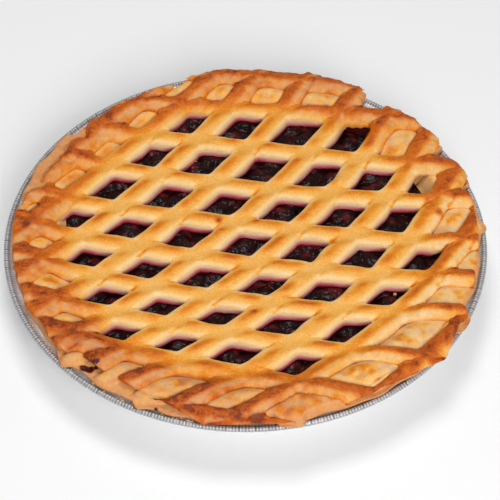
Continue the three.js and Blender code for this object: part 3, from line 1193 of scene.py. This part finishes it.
def lattice_marks(bm):
    """How brown, pale and stained with juice the sheet is, for each vertex."""
    marks = {"browning": [], "pallor": [], "stain": [], "syrup": []}
    for vert in bm.verts:
        x, y, z = vert.co
        radius, degrees, _, up, first, second, aside = place_on_lattice(vert.co)
        rim = ease(radius, *RIM_BROWN)
        toasted = ease(aside, -0.65, 0.1)
        lumps = rim_lumps(x, y, first, second)
        middle = middle_browning(x, y, up, first, second, aside)
        brown = lerp(middle, rim_browning(x, y, toasted, lumps), rim)
        brown += 0.04 * rough(x, y, 20, seed=53) + 0.42 * creases(first, second)
        marks["browning"].append(clamp(brown + strongest_spot(BURNT_SPOTS, x, y)))
        # the near side is paler: partly pale dough, partly a painted highlight
        near_side_pale_and_highlight = hump(aside, -0.6, 0.4) * clamp(0.6 - 1.2 * lumps)
        pale = 0.15 + 0.95 * near_side_pale_and_highlight - 0.35 * toasted + 0.5 * rough(x, y, 3.6, seed=56)
        marks["pallor"].append(clamp(rim * pale * lerp(0.35, 1, rim_heat(degrees))))
        marks["stain"].append(soaked_up(x, y, z, up))
        marks["syrup"].append(boiled_over(x, y))
    return marks


lattice_bm = melted_sheet()
relieve_lattice(lattice_bm)
lattice = to_object("lattice_baked", lattice_bm, lattice_marks(lattice_bm))
stand_for(lattice, "lattice_top")

# %% [markdown]
# ## Crumbs
#
# A few crumbs of crust fell on the tin's rim at the near left side, and three on the
# filling. Each is a small ball that noise makes uneven, sunk a little into what it lies
# on, so that none of them floats. All of them are one mesh.

# %% Crumbs
CRUMB_SEED = 4
RIM_CRUMBS = 26
RIM_CRUMB_ARC = (206, 262)
RIM_CRUMB_RING = (135.5, 137.2)
RIM_CRUMB_SIZES = (0.4, 0.9)
CRUMB_LUMPS = 1.1
CRUMB_MARKS = {"browning": 0.3, "pallor": 0.9}
# (x, y, radius)
FILLING_CRUMBS = [(84.8, -40.5, 1.1), (81, -37.4, 0.7), (-30, 66, 0.6)]


def add_crumb(bm, place, size):
    made = bmesh.ops.create_icosphere(bm, subdivisions=2, radius=size)
    for vert in made["verts"]:
        uneven = 1 + 0.5 * noise.noise(vert.co * CRUMB_LUMPS / size + Vector(place))
        vert.co = Vector(place) + vert.co * uneven


def crumb_mesh():
    chooser = random.Random(CRUMB_SEED)
    bm = bmesh.new()
    for _ in range(RIM_CRUMBS):
        degrees = chooser.uniform(*RIM_CRUMB_ARC)
        radius = chooser.uniform(*RIM_CRUMB_RING)
        size = chooser.uniform(*RIM_CRUMB_SIZES)
        add_crumb(bm, (*around(radius, degrees), RIM_HEIGHT + 0.6 * size), size)
    for x, y, size in FILLING_CRUMBS:
        add_crumb(bm, (x, y, filling_top(x, y) + 0.5 * size), size)
    return bm


crumb_bm = crumb_mesh()
marks = {title: [value] * len(crumb_bm.verts) for title, value in CRUMB_MARKS.items()}
crumbs = to_object("crumbs", crumb_bm, marks)
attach(crumbs, "root")

# %% [markdown]
# ## Materials
#
# The colour of pastry follows how far it baked, from cream dough over gold and orange
# to brown. That is one scale, so one group turns the browning mark into colour, and both
# crusts use it with their own values. The group also lays on what breaks the colour up:
# fine flour grain, larger uneven tone, and pale matt patches that the glaze missed; on
# the lattice's rim these pale patches also stand in for a painted highlight.


# %% Node helpers
# the mix node's colour sockets, which it has beside those for numbers and vectors
COLOUR_A = 6
COLOUR_B = 7
COLOUR_RESULT = 2


def colour(red, green, blue):
    """A colour as it looks on a screen, 0 to 255, as the linear light of a shader."""
    linear = []
    for value in (red, green, blue):
        part = value / 255
        linear.append(part / 12.92 if part <= 0.04045 else ((part + 0.055) / 1.055) ** 2.4)
    return (*linear, 1.0)


def fill(tree, node, inputs):
    """Sets each named input of a node to a value, or links it to a socket."""
    for name, value in inputs.items():
        if isinstance(value, bpy.types.NodeSocket):
            tree.links.new(value, node.inputs[name])
        else:
            node.inputs[name].default_value = value


def new_material(name, constants):
    """A material whose shader has these constant values on its sockets."""
    material = bpy.data.materials.new(name)
    material.use_nodes = True
    tree = material.node_tree
    shader = tree.nodes["Principled BSDF"]
    fill(tree, shader, constants)
    return material, tree, shader


def add(tree, kind, inputs=None, **settings):
    """Adds a node, sets its options, and fills its inputs."""
    node = tree.nodes.new(kind)
    for name, value in settings.items():
        setattr(node, name, value)
    fill(tree, node, inputs or {})
    return node


def calculate(tree, operation, *values):
    """One sum, product or the like of sockets and numbers, as a socket."""
    inputs = dict(enumerate(values))
    return add(tree, "ShaderNodeMath", inputs, operation=operation).outputs[0]


def scaled(tree, value, factor, base=0.0):
    """Base plus factor times value, as a socket."""
    return calculate(tree, "MULTIPLY_ADD", value, factor, base)


def blend_colours(tree, factor, first, second):
    """The first colour passing into the second, as a socket."""
    inputs = {"Factor": factor, COLOUR_A: first, COLOUR_B: second}
    return add(tree, "ShaderNodeMix", inputs, data_type="RGBA").outputs[COLOUR_RESULT]


def mark(tree, name):
    """A number that a piece keeps for each vertex, as a socket."""
    return add(tree, "ShaderNodeAttribute", attribute_name=name).outputs["Fac"]


def mottle(tree, place, grain, detail=2):
    """Noise with lumps of a size in mm, from 0 to 1, as a socket."""
    inputs = {"Vector": place, "Scale": 1 / (grain * MM), "Detail": detail}
    return add(tree, "ShaderNodeTexNoise", inputs).outputs["Fac"]


def colour_scale(tree, factor, stops):
    """A colour ramp from (position, screen colour) stops, as a socket."""
    ramp = add(tree, "ShaderNodeValToRGB", {"Fac": factor})
    elements = ramp.color_ramp.elements
    while len(elements) < len(stops):
        elements.new(1)
    for element, (position, shade) in zip(elements, stops):
        element.position = position
        element.color = colour(*shade)
    return ramp.outputs["Color"]


def add_bump(tree, shader, height, depth):
    """Lets a height from 0 to 1 work on the shader as relief of a depth in mm."""
    inputs = {"Height": height, "Strength": 1, "Distance": depth * MM}
    fill(tree, shader, {"Normal": add(tree, "ShaderNodeBump", inputs).outputs[0]})


# %% Crust colours
BAKING_SCALE = [
    (0.0, (246, 218, 180)), (0.18, (244, 204, 144)), (0.36, (241, 176, 78)),
    (0.52, (232, 140, 28)), (0.68, (211, 109, 20)), (0.84, (190, 86, 16)), (1.0, (128, 52, 16)),
]
STAIN_SCALE = [
    (0.0, (240, 208, 168)), (0.14, (233, 188, 164)), (0.2, (229, 172, 156)),
    (0.28, (223, 154, 144)), (0.38, (218, 124, 128)), (0.52, (206, 88, 104)),
    (0.72, (184, 60, 78)), (1.0, (112, 26, 34)),
]
# tan of pale unglazed dough, which on the lattice's rim also stands in for a painted highlight
UNGLAZED_AND_SHEEN = colour(212, 160, 116)
SYRUP = colour(70, 14, 18)
CRUST_MARKS = ("Browning", "Pallor", "Stain", "Syrup")
CRUST_RESULTS = {"Color": "Color", "Roughness": "Float", "Height": "Float"}


# %% The shared crust group
def toasted_specks(group, place, patches, hard):
    """Specks, and blotches with clear edges, that only hard-baked crust has."""
    specks = scaled(group, mottle(group, place, 0.8, 1), 2, -1)
    blotches = scaled(group, patches, 7, -3.6)
    blotches = calculate(group, "MAXIMUM", blotches, -0.4)
    blotches = calculate(group, "MINIMUM", blotches, 1)
    marked = calculate(group, "ADD", specks, blotches)
    return calculate(group, "MULTIPLY", marked, scaled(group, hard, 0.2))


def glaze_ridges(group, place, pallor):
    """Thin pale ridges where the glaze shrank."""
    wave = calculate(group, "SUBTRACT", mottle(group, place, 4.5), 0.5)
    ridges = scaled(group, calculate(group, "ABSOLUTE", wave), -9, 0.8)
    ridges = calculate(group, "MAXIMUM", ridges, 0)
    return calculate(group, "MULTIPLY", ridges, pallor)


def crust_group():
    group = bpy.data.node_groups.new("baked_crust", "ShaderNodeTree")
    for name in CRUST_MARKS:
        group.interface.new_socket(name, in_out="INPUT", socket_type="NodeSocketFloat")
    for name, kind in CRUST_RESULTS.items():
        group.interface.new_socket(name, in_out="OUTPUT", socket_type="NodeSocket" + kind)
    given = group.nodes.new("NodeGroupInput").outputs
    place = add(group, "ShaderNodeTexCoord").outputs["Object"]
    patches = mottle(group, place, 5, 3)
    flour = calculate(group, "SUBTRACT", mottle(group, place, 1, 3), 0.5)
    hard = calculate(group, "SUBTRACT", given["Browning"], 0.5)
    hard = calculate(group, "MAXIMUM", hard, 0)
    ridges = glaze_ridges(group, place, given["Pallor"])

    tone = scaled(group, flour, 0.36, given["Browning"])
    tone = scaled(group, patches, 0.1, tone)
    tone = calculate(group, "SUBTRACT", tone, 0.05)
    tone = calculate(group, "ADD", toasted_specks(group, place, patches, hard), tone)
    tone = scaled(group, ridges, -0.2, tone)
    baked = colour_scale(group, tone, BAKING_SCALE)
    # pale patches: unglazed dough, and on the lattice's rim also a painted highlight
    baked = blend_colours(group, scaled(group, given["Pallor"], 0.75), baked, UNGLAZED_AND_SHEEN)
    seeped = scaled(group, scaled(group, flour, 0.6), given["Stain"], given["Stain"])
    juice = colour_scale(group, seeped, STAIN_SCALE)
    soaked = blend_colours(group, scaled(group, given["Stain"], 10, -0.6), baked, juice)

    dry = scaled(group, given["Pallor"], 0.2, 0.42)
    blisters = scaled(group, mottle(group, place, 2.2, 3), scaled(group, hard, 4, 0.6))
    relief = scaled(group, mottle(group, place, 0.9, 3), 0.35, blisters)
    results = {
        "Color": blend_colours(group, given["Syrup"], soaked, SYRUP),
        "Roughness": scaled(group, given["Syrup"], -0.38, dry),
        "Height": scaled(group, ridges, 0.5, relief),
    }
    fill(group, group.nodes.new("NodeGroupOutput"), results)
    print("crust group has", len(group.nodes), "nodes")
    return group


# %% Crust materials
CRUST_GROUP = crust_group()


def crust_material(name, bump, gloss):
    """A baked crust: its marks go through the shared group into one shader."""
    material, tree, shader = new_material(name, {"Specular IOR Level": gloss})
    crust = add(tree, "ShaderNodeGroup", node_tree=CRUST_GROUP)
    fill(tree, crust, {name: mark(tree, name.lower()) for name in CRUST_MARKS})
    result = crust.outputs
    fill(tree, shader, {"Base Color": result["Color"], "Roughness": result["Roughness"]})
    add_bump(tree, shader, result["Height"], bump)
    return material


lattice.data.materials.append(crust_material("lattice_crust", bump=0.5, gloss=0.2))
case.data.materials.append(crust_material("case_crust", bump=0.35, gloss=0.1))
crumbs.data.materials.append(case.data.materials[0])

# %% [markdown]
# Cooked berries are almost black, wet and wrinkled, with a few redder skins. Foil is
# bright and finely creased, and its crimped bead gets painted shade in its grooves.

# %% Filling and foil
SKIN_SCALE = [(0.4, (20, 5, 6)), (0.56, (38, 10, 12)), (0.7, (92, 24, 24))]
FOIL_SCALE = [(0.3, (222, 222, 224)), (0.7, (244, 244, 245))]
# grey of the painted shade in the bead's grooves
GROOVE_SHADE_GREY = colour(96, 94, 98)
WET = {"Roughness": 0.17, "Specular IOR Level": 0.15}
BRIGHT = {"Metallic": 0.4, "Roughness": 0.42}
WRINKLE_BUMP = 1.4
FOIL_BUMP = 0.2


def filling_material():
    material, tree, shader = new_material("berry_filling", WET)
    place = add(tree, "ShaderNodeTexCoord").outputs["Object"]
    skins = colour_scale(tree, mottle(tree, place, 7), SKIN_SCALE)
    fill(tree, shader, {"Base Color": skins})
    add_bump(tree, shader, mottle(tree, place, 4.5, 3), WRINKLE_BUMP)
    return material


def foil_material():
    material, tree, shader = new_material("foil", BRIGHT)
    place = add(tree, "ShaderNodeTexCoord").outputs["Object"]
    tone = colour_scale(tree, mottle(tree, place, 3, 3), FOIL_SCALE)
    # painted shade: grey is blended in where the bead's grooves lie
    tone = blend_colours(tree, mark(tree, "groove_shade"), tone, GROOVE_SHADE_GREY)
    fill(tree, shader, {"Base Color": tone})
    add_bump(tree, shader, mottle(tree, place, 2.5, 3), FOIL_BUMP)
    return material


filling.data.materials.append(filling_material())
foil_tin.data.materials.append(foil_material())
print("materials:", sorted(material.name for material in bpy.data.materials))

# %% [markdown]
# ## Floor, light and camera
#
# The pie stands on a pale floor under large soft lights, as in a studio. The camera
# looks down at 47 degrees from 8 tin radii away, where the round tin looks as wide and
# as deep as it does in the photograph.

# %% Floor
FLOOR_SIZE = 6
# the floor lies so many mm under the tin, so that the two faces don't coincide
FLOOR_GAP = 0.1
FLOOR_PAINT = {"Base Color": colour(250, 250, 250), "Roughness": 0.8}

floor_bm = bmesh.new()
bmesh.ops.create_grid(floor_bm, x_segments=1, y_segments=1, size=FLOOR_SIZE / 2 / MM)
bmesh.ops.translate(floor_bm, vec=(0, 0, -FLOOR_GAP), verts=floor_bm.verts)
floor = to_object("floor", floor_bm)
floor_paint, *_ = new_material("floor_paint", FLOOR_PAINT)
floor.data.materials.append(floor_paint)

# %% Camera
CAMERA_TILT = math.radians(47.25)
CAMERA_DISTANCE = 8 * 0.140
CAMERA_AIM = Vector((0, 0, 0.030))
CAMERA_CLIP = 0.01
LENS = 138.94
SHIFT = (0.0090, -0.0239)

camera_data = bpy.data.cameras.new("camera")
camera = new_object("camera", camera_data)
away = Vector((0, -math.cos(CAMERA_TILT), math.sin(CAMERA_TILT)))
camera.location = CAMERA_AIM + CAMERA_DISTANCE * away
camera.rotation_euler = (math.pi / 2 - CAMERA_TILT, 0, 0)
camera_data.lens = LENS
camera_data.shift_x, camera_data.shift_y = SHIFT
camera_data.clip_start = CAMERA_CLIP
bpy.context.scene.camera = camera
print("camera stands at", [round(value, 3) for value in camera.location], "metres")

# %% Light
# (name, place and size in metres, power in watts)
SOFTBOXES = [
    ("front_key", (0.3, -1.3, 0.95), 0.7, 16.5),
    ("overhead", (-0.1, 0.3, 1.5), 0.6, 8),
]
SKY_STRENGTH = 0.3

for name, place, size, power in SOFTBOXES:
    light = bpy.data.lights.new(name, "AREA")
    light.shape = "SQUARE"
    light.size = size
    light.energy = power
    lamp = new_object(name, light)
    lamp.location = place
    lamp.rotation_euler = (-Vector(place)).to_track_quat("-Z", "Y").to_euler()

world = bpy.data.worlds.new("studio")
world.use_nodes = True
background = world.node_tree.nodes["Background"]
background.inputs["Color"].default_value = (1, 1, 1, 1)
background.inputs["Strength"].default_value = SKY_STRENGTH
bpy.context.scene.world = world
bpy.context.scene.view_settings.view_transform = "Standard"
